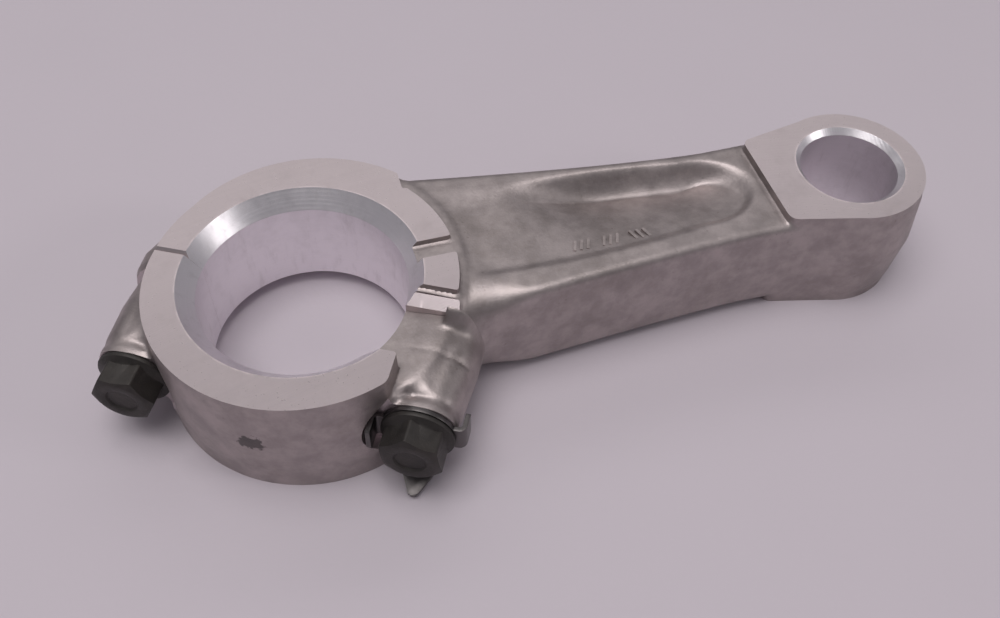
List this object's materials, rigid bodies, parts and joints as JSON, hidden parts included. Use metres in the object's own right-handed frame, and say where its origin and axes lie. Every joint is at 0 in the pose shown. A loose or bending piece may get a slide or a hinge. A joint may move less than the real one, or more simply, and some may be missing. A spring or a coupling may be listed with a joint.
{
  "type": "connecting rod",
  "caption": "Small-engine connecting rod with an oblique split big end: cast beam, bolted cap, flanged screws and a tabbed lock plate with a splash tongue.",
  "frame": {"origin": "centre of the crankpin bore, half way through the thickness", "axes": "+X towards the wrist pin bore, +Z along both bores, out of the upper side face, with the cap's bosses towards -Y"},
  "size_m": [0.1508, 0.0612, 0.0228],
  "materials": {
    "rod_casting": "satin",
    "cap_casting": "satin",
    "screw_steel": "satin",
    "plate_steel": "satin"
  },
  "bodies": {
    "rod": {"rod": "rod_casting"},
    "cap": {"cap": "cap_casting", "lock_plate": "plate_steel"},
    "screw_near": {"screw_near": "screw_steel"},
    "screw_far": {"screw_far": "screw_steel"}
  },
  "joints": [
    {"name": "cap_slide", "type": "slide", "parent": "rod", "child": "cap", "axis": [-0.4695, -0.8829, 0], "range_m": [0, 0.0127]},
    {"name": "screw_near_turn", "type": "hinge", "parent": "cap", "child": "screw_near", "pos_m": [0.02119, -0.01127, 0], "axis": [-0.4695, -0.8829, 0], "range_deg": [0, 5041]},
    {"name": "screw_far_turn", "type": "hinge", "parent": "cap", "child": "screw_far", "pos_m": [-0.02119, 0.01127, 0], "axis": [-0.4695, -0.8829, 0], "range_deg": [0, 5041]}
  ],
  "couplings": [
    {"joint": "screw_near_turn", "follows": "cap_slide", "rad_per_m": 6927.4},
    {"joint": "screw_far_turn", "follows": "cap_slide", "rad_per_m": 6927.4}
  ]
}
